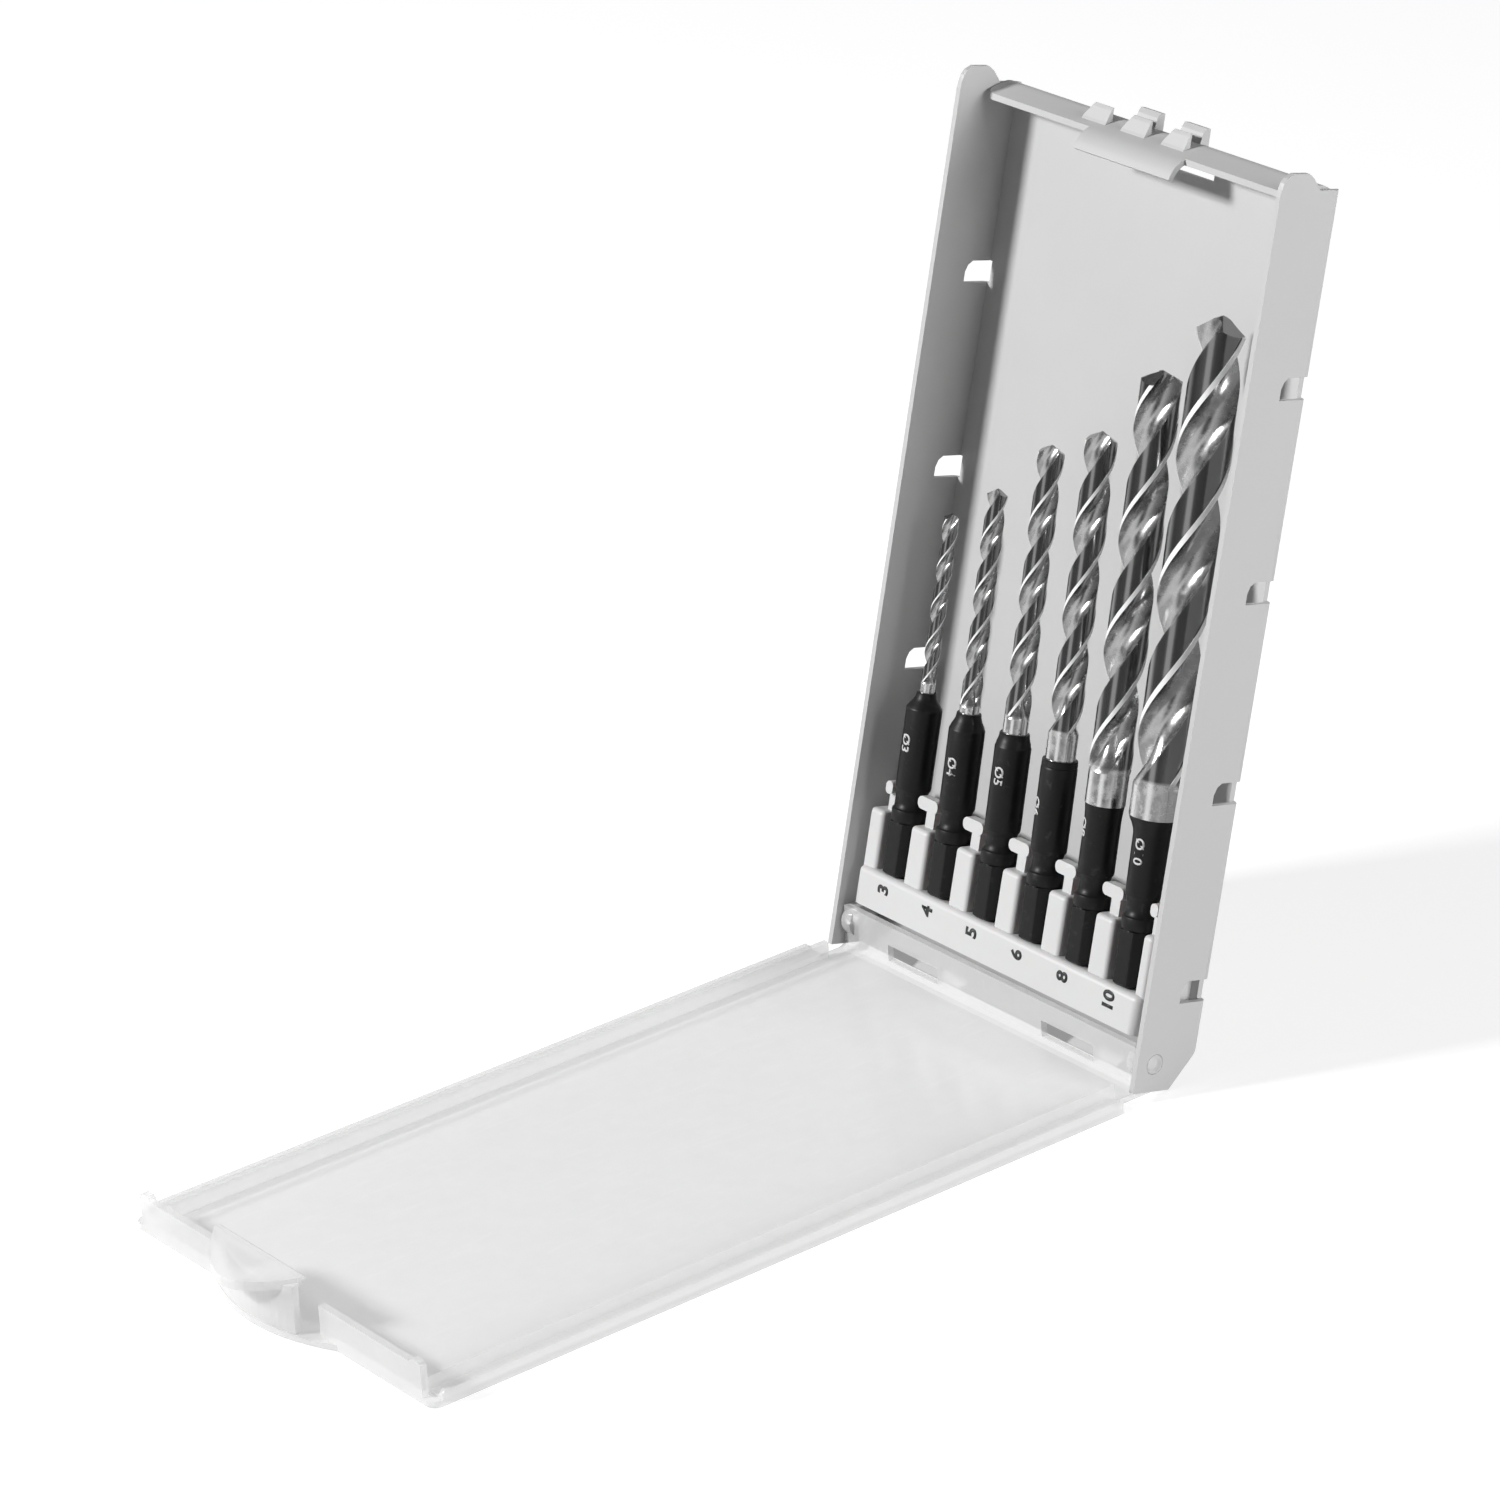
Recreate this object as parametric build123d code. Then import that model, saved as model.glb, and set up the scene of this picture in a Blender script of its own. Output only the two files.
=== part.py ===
"""Drill bit case: folded tray, bit holder, clear hinged lid with a spring latch, six hex-shank bits."""
import os
from math import acos, cos, degrees, pi, radians, sin, sqrt, tan

from build123d import *

os.makedirs("parts", exist_ok=True)

# All sizes in millimetres, all angles in degrees.
# Tray axes while modelling: X across, Y from the front edge backwards, Z up the tray.

# tray
tray_width = 88.0
tray_depth = 15.0
sheet = 1.1
corner_radius = 1.6            # outside of the fold between back and sides
heel = 8.8                     # flat bottom edge of a side wall, up to its rear chamfer
back_bottom = 7.9              # where the back plate starts
tray_height = 168.4            # to the rear part of a side wall's top edge
ear_rise = 3.0                 # raised ear at the top of each side wall
ear_front = 2.6
ear_rear = 6.3
ear_foot = 9.6
ear_start_drop = 1.2           # where its front starts, below the tray's top
lean_angle = 14.0              # how far the open tray leans back

# top flange, bent forward from the back plate
flange_bend = 3.6              # outside radius of the bend
flange_bend_drop = 3.1         # start of the bend, below the tray's top
flange_droop = 22.0
flange_front = 5.7             # front edge, from the tray's front
flange_end_gap = 0.4
flange_corner = 2.4
lip_width = 26.0
lip_bend = 5.5
lip_droop = 68.0
lip_reach = 0.9
top_slot_width = 25.4
top_slot_drop = 6.0
top_slot_height = 2.0

# catch teeth on the flange: right edge from the latch's middle, and width
front_teeth = [(-7.6, 6.4), (3.0, 6.4), (13.6, 6.0)]
front_tooth_foot = 6.9
tooth_slant = 1.5
front_tooth_back = 9.0
front_tooth_rise = 2.4         # past the tray's top
back_teeth = [(1.2, 5.4), (13.5, 5.8)]
back_tooth_foot = 11.3
back_tooth_depth = 2.3
back_tooth_rise = 3.4

# side slots, four each side
slot_count = 4
slot_first = 16.7
slot_pitch = 37.8
slot_height = 4.2
slot_front = 8.0
slot_notch = 1.7               # how far a slot runs into the back plate
slot_chamfer_y = 1.6
slot_chamfer_z = 2.1

# lid hinge
hinge_y = 4.3
hinge_z = 5.3
pin_radius = 1.9
pin_clearance = 0.08
lid_side_gap = 0.4             # between the lid's moving parts and a side wall
pin_core_radius = 1.15         # hollow inside each moulded pin
pin_end = 0.6
ear_thickness = 2.6
lid_ear_radius = 3.2

# lid
lid_overhang = 1.5             # past each side wall
lid_gap = 0.1                  # floor of the side grooves to the tray's front edges
plate_gap = 0.73               # plate between the rims to the same edges
lid_flange_wall = 1.1
lid_flange_height = 1.0        # past the tray's front edge
lid_flange_start = 9.0         # from the hinge axis
lid_rim_inset = 2.2
lid_rim_wall = 1.2
lid_rim_height = 2.4
lid_end_rise = 1.4             # outside of the end wall, past the tray's top
end_wall = 1.4
end_wall_top = 5.2
corner_post = 3.2
corner_post_top = 6.0
lid_corner_radius = 2.2
floor_wall_z = 2.35             # inner face of the wall across the hinge end, from the hinge axis
floor_wall = 1.3
floor_wall_reach = 3.45         # its free edge, behind the hinge axis
floor_wall_cove = 2.0
window_start = 15.0            # moulding windows in that wall, each side of the middle
window_width = 14.5
window_low = 0.4
window_high = 3.7

# latch
latch_middle = -3.2            # the latch and its catch teeth sit left of the middle
latch_width = 25.6
latch_slit = 3.0
crescent_half = 19.0           # bulge of the lid's end that carries the latch
crescent_middle = -1.5
crescent_bulge = 5.0
latch_inset = 0.2              # latch wall inside the crescent's edge
latch_wall = 1.3
latch_foot_gap = 0.1
latch_top = 10.05
ledge_half = 13.2
ledge_start = 1.2              # inner edge of the thumb ledge, outside the end wall
ledge_bulge = 8.0
ledge_thickness = 1.8
ledge_fall = 1.9
nose_depth = 0.8
nose_engagement = 0.9
nose_gap = 0.25

# bit holder
pocket_shift = 0.6             # ribs and pockets sit a little to the right
bit_shift = 0.4                # a bit's foot in its pocket
bit_y = 5.0
bit_leans = [0.8, 2.0, 2.1, 2.3, 2.1, 2.0]   # play in the pockets lets the bits lean to the left
holder_side_gap = 2.5          # to the tray's inside, each side
holder_end_margin = 0.8        # outermost rib's middle inside the holder's end
holder_bottom = 9.65
holder_block_top = 17.1
holder_top_corner = 1.2
holder_front = 1.2
holder_back_thickness = 5.5
holder_corner = 1.8
rib_width = 5.3
rib_front = 2.3
rib_top = 28.5
rib_round = 1.0
rib_top_round = 0.9
post_width = 2.4
post_front = 4.6
post_back = 8.0
head_width = 5.7
end_head_width = 1.95
head_front = 3.4
head_depth = 2.0
head_bottom = 31.9
head_top = 34.4
socket_clearance = 0.15

# bits
hex_flats = 6.35
hex_corner_radius = 3.6
foot_gap = 0.02                 # bit above the block it stands on
shank_round = 6.9
ring_bottom = 27.9
ring_top = 30.4
groove_top = 34.2
groove_radius = 2.75
drill_sizes = [3.0, 4.0, 5.0, 6.0, 8.0, 10.0]
flute_lengths = [33.0, 42.0, 52.0, 57.0, 75.0, 87.0]
plain_lengths = [1.8, 1.2, 2.9, 5.0, 6.2, 5.9]
shank_tops = [53.3, 52.9, 53.0, 51.9, 47.6, 49.3]
shoulder_lengths = [3.2, 3.2, 2.6, 1.6, 3.0, 3.4]
drill_turns = [-42.0, -73.0, -37.0, 26.0, 81.0, 33.0]
helix_angle = 31.0
web_size = 0.11                # half the web, as a share of the drill's diameter
flute_size = 0.43
margin_angle = 13.0
land_relief = 0.05
point_angle = 130.0
tang_radius = 1.2
tang_length = 8.0
tang_clearance = 0.02
cap_step = 0.35                # black shank wider than the drill where they meet

# derived places
half = tray_width / 2
side_top = tray_height
ear_top = side_top + ear_rise
ear_start = side_top - ear_start_drop
flange_bend_bottom = side_top - flange_bend_drop
front_tooth_top = side_top + front_tooth_rise
back_tooth_top = side_top + back_tooth_rise
inner_half = half - sheet
back_inner = tray_depth - sheet
lean = radians(lean_angle)
hinge_height = hinge_z * cos(lean) + (heel - hinge_y) * sin(lean)
lid_outer = hinge_y - hinge_height          # outside of the closed lid's plate
lid_inner = -plate_gap
bit_count = len(drill_sizes)
holder_half = inner_half - holder_side_gap
bit_pitch = (holder_half - holder_end_margin) * 2 / bit_count
pocket_x = [(i - (bit_count - 1) / 2) * bit_pitch + pocket_shift for i in range(bit_count)]
shank_bottom = holder_block_top + foot_gap
rib_x = [(i - bit_count / 2) * bit_pitch + pocket_shift for i in range(bit_count + 1)]
end_outer = side_top + lid_end_rise
end_inner = end_outer - end_wall
slot_levels = [slot_first + i * slot_pitch for i in range(slot_count)]


def box(x0, x1, y0, y1, z0, z1):
    return Pos((x0 + x1) / 2, (y0 + y1) / 2, (z0 + z1) / 2) * Box(x1 - x0, y1 - y0, z1 - z0)


def across(points, x0, x1):
    """Prism along X from points in (Y, Z)."""
    face = Face(Wire.make_polygon([Vector(x0, y, z) for y, z in points], close=True))
    return Solid.extrude(face, Vector(x1 - x0, 0, 0))


def upright(points, y0, y1):
    """Prism along Y from points in (X, Z)."""
    face = Face(Wire.make_polygon([Vector(x, y0, z) for x, z in points], close=True))
    return Solid.extrude(face, Vector(0, y1 - y0, 0))


def rod_x(radius, x0, x1, y, z):
    return Pos((x0 + x1) / 2, y, z) * Rot(0, 90, 0) * Cylinder(radius, x1 - x0)


def mirrored(shape):
    return shape + mirror(shape, about=Plane.YZ)


# --- tray -----------------------------------------------------------------------------------
def flange_path(extra=0.0):
    """Outer line of the back plate's bend and flange in (Y, Z), moved inwards by extra."""
    radius = flange_bend - extra
    cy, cz = tray_depth - flange_bend, flange_bend_bottom
    turn = 90 + flange_droop
    arc = [(cy + radius * cos(radians(a)), cz + radius * sin(radians(a))) for a in
           [turn * i / 10 for i in range(11)]]
    return arc


def strip(outer, inner, x0, x1):
    return across(outer + inner[::-1], x0, x1)


def flange_line(extra):
    arc = flange_path(extra)
    y, z = arc[-1]
    run = y - flange_front
    return arc + [(flange_front, z - run * tan(radians(flange_droop)))]


def lip_line(extra):
    y, z = flange_line(0.0)[-1]
    start, end = radians(flange_droop), radians(lip_droop)
    cy, cz = y + lip_bend * sin(start), z - lip_bend * cos(start)
    radius = lip_bend - extra
    turns = [start + (end - start) * i / 8 for i in range(9)]
    arc = [(cy - radius * sin(a), cz + radius * cos(a)) for a in turns]
    y, z = arc[-1]
    return arc + [(y - lip_reach * cos(end), z - lip_reach * sin(end))]


def side_outline():
    front = [(0.0, 0.0), (0.0, ear_start)]
    rise = [(ear_front * y, ear_start + (ear_top - ear_start) * z)
            for y, z in [(0.06, 0.33), (0.19, 0.6), (0.44, 0.81), (1, 1)]]
    fall = [(ear_rear, ear_top), (ear_rear + (ear_foot - ear_rear) * 0.4, ear_top - ear_rise * 0.27),
            (ear_foot, side_top)]
    rear = [(tray_depth, side_top), (tray_depth, back_bottom), (heel, 0.0)]
    return front + rise + fall + rear


def inside_outline():
    """Hollow of the tray in (Y, Z): its rear follows the back plate and the chamfer below it."""
    slope = (tray_depth - heel) / back_bottom
    across_wall = sheet * sqrt(1 + slope ** 2)
    low, high = -tray_depth, ear_top + tray_depth
    knee = (back_inner - heel + across_wall) / slope
    return [(low, low), (heel - across_wall + low * slope, low), (back_inner, knee), (back_inner, high),
            (low, high)]


def make_tray():
    shell = across(side_outline(), -half, half)
    inside = across(inside_outline(), -inner_half, inner_half)
    shell = shell - inside
    rear_edges = [e for e in shell.edges().filter_by(Axis.Z) if abs(e.center().Y - tray_depth) < 0.01]
    shell = fillet(rear_edges, corner_radius)
    # the back plate ends where the flange's bend starts
    above = box(-inner_half, inner_half, -tray_depth, tray_depth * 1.1, flange_bend_bottom,
                ear_top + tray_depth)
    shell = shell - above
    end = inner_half - flange_end_gap
    start = [(tray_depth, flange_bend_bottom - 0.5)]
    start_in = [(back_inner, flange_bend_bottom - 0.5)]
    flange = strip(start + flange_line(0.0), start_in + flange_line(sheet), -end, end)
    corners = [e for e in flange.edges() if abs(e.center().Y - flange_front) < sheet
               and abs(abs(e.center().X) - end) < 0.01 and e.length < 2 * sheet]
    flange = fillet(corners, flange_corner)
    lip = strip(lip_line(0.0), lip_line(sheet), -lip_width / 2, lip_width / 2)
    tray = shell + flange + lip
    # catch teeth
    foot_z = flange_line(sheet / 2)[-1][1] + (front_tooth_foot - flange_front) * tan(radians(flange_droop))
    back_z = foot_z + (front_tooth_back - front_tooth_foot) * tan(radians(flange_droop))
    for right, width in front_teeth:
        x1 = latch_middle + right
        x0 = x1 - width
        profile = [(front_tooth_foot, foot_z), (front_tooth_foot + 0.7, foot_z + 1.3),
                   (front_tooth_back - 0.55, front_tooth_top - 0.6),
                   (front_tooth_back - 0.2, front_tooth_top),
                   (front_tooth_back, front_tooth_top), (front_tooth_back, back_z - 0.1)]
        outline = [(x0, foot_z - 1), (x1, foot_z - 1), (x1, front_tooth_top),
                   (x0 + tooth_slant, front_tooth_top),
                   (x0, back_z + 0.5)]
        tray += across(profile, x0, x1) & upright(outline, 0, tray_depth)
    for right, width in back_teeth:
        x1 = latch_middle + right
        back = back_tooth_foot + back_tooth_depth
        profile = [(back_tooth_foot, flange_bend_bottom + flange_bend - sheet / 2),
                   (back_tooth_foot + 0.5, back_tooth_top - 0.9), (back_tooth_foot + 1.1, back_tooth_top),
                   (back - 0.1, back_tooth_top - 0.1), (back, flange_bend_bottom + flange_bend * 0.7)]
        tray += across(profile, x1 - width, x1)
    # slots through the side walls and the fold behind them
    for z in slot_levels:
        top = z + slot_height
        outline = [(slot_front, z), (tray_depth + 1, z), (tray_depth + 1, top),
                   (slot_front + slot_chamfer_y, top),
                   (slot_front + 0.35 * slot_chamfer_y, top - 0.35 * slot_chamfer_z),
                   (slot_front, top - slot_chamfer_z)]
        for x0 in (-half - 1, half - slot_notch):
            tray -= across(outline, x0, x0 + slot_notch + 1)
    slot_bottom = side_top - top_slot_drop
    tray -= box(-top_slot_width / 2, top_slot_width / 2, back_inner - 1, tray_depth + 1,
                slot_bottom, slot_bottom + top_slot_height)
    hole = pin_radius + pin_clearance
    tray -= rod_x(hole, -half - 1, half + 1, hinge_y, hinge_z)
    return tray


# --- bit holder -----------------------------------------------------------------------------
def lean_bit(i, shape):
    """A bit, or what is cut for it, from its own axis to its place in the holder."""
    standing = hex_corner_radius * sin(radians(bit_leans[i]))      # on the lower corner of its hexagon
    foot = Pos(pocket_x[i] + bit_shift, bit_y, holder_block_top + standing)
    return foot * Rot(0, -bit_leans[i], 0) * Pos(0, 0, -holder_block_top) * shape


def make_holder():
    h = holder_half
    block = box(-h, h, holder_front, back_inner, holder_bottom, holder_block_top)
    fronts = [e for e in block.edges().filter_by(Axis.Z) if e.center().Y < holder_front + 0.01]
    block = fillet(fronts, holder_corner)
    crowns = [e for e in block.edges().filter_by(Axis.Y) if e.center().Z > holder_block_top - 0.01
              and abs(e.center().X) > h - 0.01]
    block = fillet(crowns, holder_top_corner)
    slab = box(-h, h, back_inner - holder_back_thickness, back_inner, holder_bottom, rib_top)
    holder = block + slab
    for x in rib_x:
        x0, x1 = max(x - rib_width / 2, -h), min(x + rib_width / 2, h)
        rib = box(x0, x1, rib_front, back_inner, holder_bottom + 1, rib_top)
        soft = [e for e in rib.edges().filter_by(Axis.Z) if e.center().Y < rib_front + 0.01]
        corner = min(rib_round, (x1 - x0) / 2 - 0.1)
        rib = fillet(soft, corner)
        soft = [e for e in rib.edges() if e.center().Z > rib_top - 0.01 and e.center().Y < post_front]
        holder += fillet(soft, min(rib_top_round, corner * 0.9))
    for x in rib_x[1:-1]:
        holder += box(x - post_width / 2, x + post_width / 2, post_front, post_back,
                      rib_top - 1, head_top - 0.8)
        head = box(x - head_width / 2, x + head_width / 2, head_front, head_front + head_depth,
                   head_bottom, head_top)
        holder += fillet(head.edges().filter_by(Axis.Y), (head_top - head_bottom) / 2 - 0.1)
    for side, x in ((-1, rib_x[0]), (1, rib_x[-1])):
        tip = x - side * head_width / 2
        x0, x1 = sorted((tip, tip + side * end_head_width))
        holder += box(x0 + 0.2, x1 - 0.2, post_front, post_back, rib_top - 1, head_top - 0.8)
        head = box(x0, x1, head_front, head_front + head_depth, head_bottom, head_top)
        holder += fillet(head.edges().filter_by(Axis.Y), end_head_width / 2 - 0.1)
    for i in range(bit_count):
        pocket = Pos(0, 0, holder_block_top) * Cylinder(
            hex_corner_radius + socket_clearance, ear_top, align=(Align.CENTER, Align.CENTER, Align.MIN))
        holder -= lean_bit(i, pocket) & box(-half, half, -tray_depth, tray_depth, holder_block_top, ear_top)
    return holder


# --- lid, modelled closed -------------------------------------------------------------------
def crescent_arc(x0, x1, inset=0.0, count=14):
    """Points (X, Z) on the curved edge that carries the latch, moved inwards by inset."""
    xs = [x0 + (x1 - x0) * i / count for i in range(count + 1)]
    return [(x, end_outer + crescent_bulge * (1 - ((x - crescent_middle) / crescent_half) ** 2) - inset)
            for x in xs]


def make_lid():
    outer_half = half + lid_overhang
    start = hinge_z + lid_flange_start
    plate = box(-outer_half, outer_half, lid_outer, lid_inner, start, end_outer)
    ends = [e for e in plate.edges().filter_by(Axis.Y) if e.center().Z > end_outer - 0.01]
    plate = fillet(ends, lid_corner_radius)
    side = box(outer_half - lid_flange_wall, outer_half, lid_outer, lid_flange_height, start,
               end_outer - lid_corner_radius)
    tips = [e for e in side.edges().filter_by(Axis.X) if e.center().Y > lid_flange_height - 0.01]
    side = fillet(tips, 1.2)
    rim_x = half - lid_rim_inset
    floor = box(rim_x - 0.5, outer_half - 0.5, lid_inner - 0.3, -lid_gap, start,
                end_outer - lid_corner_radius)
    rim = box(rim_x - lid_rim_wall, rim_x, lid_outer, lid_rim_height, start - 1.0, end_inner + 0.2)
    lid = plate + mirrored(side) + mirrored(rim) + mirrored(floor)
    # end wall with its corner posts, cut away beside the latch
    wall_half = inner_half - lid_side_gap
    opening = latch_width / 2 + latch_slit
    wall = box(-wall_half, wall_half, lid_outer, end_wall_top, end_inner, end_outer)
    wall -= box(latch_middle - opening, latch_middle + opening, lid_inner, end_wall_top + 1, end_inner - 1,
                end_outer + 1)
    post = box(wall_half - corner_post, wall_half, lid_outer, corner_post_top, end_inner, end_outer)
    crowns = [e for e in post.edges().filter_by(Axis.Z) if e.center().Y > corner_post_top - 0.01]
    post = fillet(crowns, 1.0)
    lid += wall + mirrored(post)
    # crescent the latch stands on
    x0, x1 = crescent_middle - crescent_half, crescent_middle + crescent_half
    crescent = [(x0, end_outer - 1)] + crescent_arc(x0, x1) + [(x1, end_outer - 1)]
    lid += upright(crescent, lid_outer, lid_inner)
    # hinge end: the plate runs in between the side walls to a cross wall with an ear at each end
    end = inner_half - lid_side_gap
    wall_top = hinge_z + floor_wall_z
    lid += box(-end, end, lid_outer, lid_inner, wall_top - floor_wall, start + 1)
    cross = box(-end, end, lid_outer, hinge_y + floor_wall_reach, wall_top - floor_wall, wall_top)
    for x in (-window_start - window_width, window_start):
        cross -= box(x, x + window_width, window_low, window_high, wall_top - floor_wall - 1, wall_top + 1)
    cove = across([(lid_inner - 0.1, wall_top - 0.1), (lid_inner + floor_wall_cove * 0.5, wall_top - 0.1),
                   (lid_inner + floor_wall_cove * 0.15, wall_top + floor_wall_cove * 0.35),
                   (lid_inner - 0.1, wall_top + floor_wall_cove)], -end, end)
    lid += cross + cove
    ear = rod_x(lid_ear_radius, end - ear_thickness, end, hinge_y, hinge_z)
    ear += box(end - ear_thickness, end, lid_outer, hinge_y, hinge_z - lid_ear_radius * 0.4, wall_top)
    pin = rod_x(pin_radius, end - 0.5, half, hinge_y, hinge_z)
    core = rod_x(pin_core_radius, end - ear_thickness - 1, half - pin_end, hinge_y, hinge_z)
    lid += mirrored(ear + pin)
    return lid - mirrored(core)


def make_latch():
    x0, x1 = latch_middle - latch_width / 2, latch_middle + latch_width / 2
    outer = crescent_arc(x0, x1, latch_inset)
    z0 = end_outer + ledge_start
    inner = [(x, max(z, z0)) for x, z in crescent_arc(x0, x1, latch_inset + latch_wall)]
    wall = upright(inner + outer[::-1], lid_inner + latch_foot_gap, latch_top)
    tip = z0 + ledge_bulge
    ends = latch_middle - ledge_half, latch_middle + ledge_half
    rim = [ledge_half * (2 * i / 16 - 1) for i in range(17)]
    plan = upright([(latch_middle + x, z0 + ledge_bulge * (1 - abs(x / ledge_half) ** 1.8)) for x in rim],
                   0, latch_top + 1)
    slope = across([(latch_top - ledge_thickness, z0), (latch_top, z0), (latch_top - ledge_fall, tip),
                    (latch_top - ledge_fall - ledge_thickness, tip)], *ends)
    wall -= across([(latch_top - ledge_thickness / 2, z0), (latch_top + 1, z0), (latch_top + 1, tip),
                    (latch_top - ledge_fall - ledge_thickness / 2, tip)], *ends)
    nose_y = front_tooth_back + nose_gap
    low = front_tooth_top - nose_engagement
    nose = across([(nose_y, low), (nose_y, front_tooth_top + nose_gap / 2),
                   (latch_top - ledge_thickness, z0 + 0.6), (latch_top - 0.3, z0 + 0.6),
                   (nose_y + nose_depth, z0), (nose_y + nose_depth, low + 0.5),
                   (nose_y + nose_depth * 0.6, low)],
                  x0, x1)
    return (plan & slope) + wall + nose


# --- bits -----------------------------------------------------------------------------------
def shank_profile(i):
    """Half section (R, Z) of the turned part above the hexagon."""
    drill, top, shoulder = drill_sizes[i] / 2, shank_tops[i], shoulder_lengths[i]
    r = shank_round / 2
    neck = min(drill + cap_step, r) if drill < r else drill - cap_step
    pts = [(0, ring_bottom), (r - 0.1, ring_bottom), (r, ring_bottom + 0.3), (r, ring_top - 0.3),
           (r - 0.1, ring_top), (groove_radius + 0.3, ring_top + 0.25), (groove_radius, ring_top + 1.2),
           (groove_radius + 0.25, groove_top - 0.9), (r - 0.2, groove_top - 0.1), (r, groove_top + 0.3),
           (r, top - shoulder)]
    if drill < r:
        pts += [(r - 0.12, top - shoulder + 0.25), (neck + (r - neck) * 0.35, top - shoulder * 0.55),
                (neck + (r - neck) * 0.06, top - shoulder * 0.22)]
    return pts + [(neck, top), (0, top)]


def revolved(points):
    face = Face(Wire.make_polygon([Vector(r, 0, z) for r, z in points], close=True))
    return Solid.revolve(face, 360, Axis.Z)


def make_shank(i):
    hexagon = extrude(RegularPolygon(hex_flats / 2, 6, major_radius=False), ring_bottom - shank_bottom + 0.2)
    hexagon = Pos(0, 0, shank_bottom) * hexagon
    rounder = Pos(0, 0, (shank_bottom + ring_bottom) / 2) * Cylinder(hex_corner_radius, ring_bottom)
    shank = (hexagon & rounder) + revolved(shank_profile(i))
    bore = Pos(0, 0, shank_tops[i] - tang_length / 2) * Cylinder(tang_radius + tang_clearance, tang_length)
    return lean_bit(i, shank - bore)


def drill_section(d):
    """Two-flute section: lands cleared behind a narrow margin at each leading edge."""
    r = d / 2
    section = Circle(r).face()
    flute_r, flute_c = flute_size * d, (web_size + flute_size) * d
    opening = degrees(acos((r * r + flute_c ** 2 - flute_r ** 2) / (2 * r * flute_c)))
    for side in (0, 180):
        start = side + opening - 2
        stop = side + 180 - opening - margin_angle
        rays = [start + (stop - start) * i / 6 for i in range(7)]
        wedge = [(0, 0)] + [(d * cos(radians(a)), d * sin(radians(a))) for a in rays]
        relief = make_face(Polyline(*wedge, close=True)) - Circle(r * (1 - land_relief))
        section = section - relief
        section = section - Rot(0, 0, side) * Pos(flute_c, 0) * Circle(flute_r)
    return section.face()


def make_drill(i):
    d, flute, plain, z0 = drill_sizes[i], flute_lengths[i], plain_lengths[i], shank_tops[i]
    r = d / 2
    turns = flute * tan(radians(helix_angle)) / (pi * d)
    twist = Solid.extrude_linear_with_rotation(drill_section(d), (0, 0, 0), (0, 0, flute), 360 * turns)
    point = r / tan(radians(point_angle / 2))
    envelope = revolved([(0, 0), (r + 1, 0), (r + 1, flute - point - 1 / tan(radians(point_angle / 2))),
                         (0, flute)])
    run_out = revolved([(0, 0), (r * (1 - land_relief), 0), (r * 0.8, d * 0.14), (r * 0.5, d * 0.42),
                        (r * 0.25, d * 0.85), (0, d * 1.2)])
    fluted = (twist & envelope) + run_out
    fluted = Pos(0, 0, z0 + plain) * Rot(0, 0, drill_turns[i]) * fluted
    stem = Pos(0, 0, z0 + plain / 2) * Cylinder(r * (1 - land_relief), plain)
    tang = Pos(0, 0, z0 - tang_length / 2) * Cylinder(tang_radius, tang_length)
    return lean_bit(i, fluted + stem + tang)


# --- placing --------------------------------------------------------------------------------
# the open pose: tray leaning back on its heel, lid swung down flat on the same floor
heel_drop = heel * sin(lean)
hinge_point = Vector(0, hinge_y * cos(lean) + hinge_z * sin(lean), hinge_height)


def stand(shape):
    return Pos(0, 0, heel_drop) * Rot(-lean_angle, 0, 0) * shape


def lay(shape):
    at_axis = Pos(0, -hinge_y, -hinge_z) * shape
    return Pos(hinge_point.X, hinge_point.Y, hinge_point.Z) * Rot(90, 0, 0) * at_axis


nodes = {"tray": stand(make_tray()), "bit_holder": stand(make_holder()),
         "lid": lay(make_lid()), "latch_tab": lay(make_latch())}
for i, size in enumerate(drill_sizes):
    nodes[f"shank_{size:.0f}"] = stand(make_shank(i))
    nodes[f"drill_{size:.0f}"] = stand(make_drill(i))

boxes = [shape.bounding_box() for shape in nodes.values()]
middle_y = (min(b.min.Y for b in boxes) + max(b.max.Y for b in boxes)) / 2
for name, shape in nodes.items():
    shape = Pos(0, -middle_y, 0) * shape
    export_step(shape, f"parts/{name}.step")
    b = shape.bounding_box()
    print(f"{name:14s} {shape.volume:9.1f} mm3  solids {len(shape.solids())}  "
          f"x {b.min.X:.2f} {b.max.X:.2f}  y {b.min.Y:.2f} {b.max.Y:.2f}  z {b.min.Z:.2f} {b.max.Z:.2f}")
print("hinge", [round(v, 4) for v in (hinge_point - Vector(0, middle_y, 0))])
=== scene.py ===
from math import acos, atan2, cos, pi, radians, sin, tan

import bmesh
import bpy
import numpy as np
from mathutils import Matrix, Vector


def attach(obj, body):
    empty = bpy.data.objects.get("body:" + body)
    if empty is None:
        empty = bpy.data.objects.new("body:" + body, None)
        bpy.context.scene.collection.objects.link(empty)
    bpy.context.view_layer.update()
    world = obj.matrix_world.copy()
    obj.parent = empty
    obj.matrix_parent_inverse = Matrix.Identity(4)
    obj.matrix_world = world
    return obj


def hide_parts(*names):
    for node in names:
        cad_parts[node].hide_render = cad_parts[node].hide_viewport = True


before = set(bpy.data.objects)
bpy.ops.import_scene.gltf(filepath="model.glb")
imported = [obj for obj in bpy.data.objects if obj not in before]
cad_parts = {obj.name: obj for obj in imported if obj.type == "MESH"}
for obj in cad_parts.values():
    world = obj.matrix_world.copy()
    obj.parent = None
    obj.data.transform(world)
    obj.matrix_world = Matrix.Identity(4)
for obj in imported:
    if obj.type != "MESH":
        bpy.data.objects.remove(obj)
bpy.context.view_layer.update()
print("frame loaded")

mm = 0.001
lean = radians(14.0)           # the open tray leans back this far
heel = 8.8                     # tray depth at its foot
trayShift = 56.5146            # the tray's front edge at its foot, along Y


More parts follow.
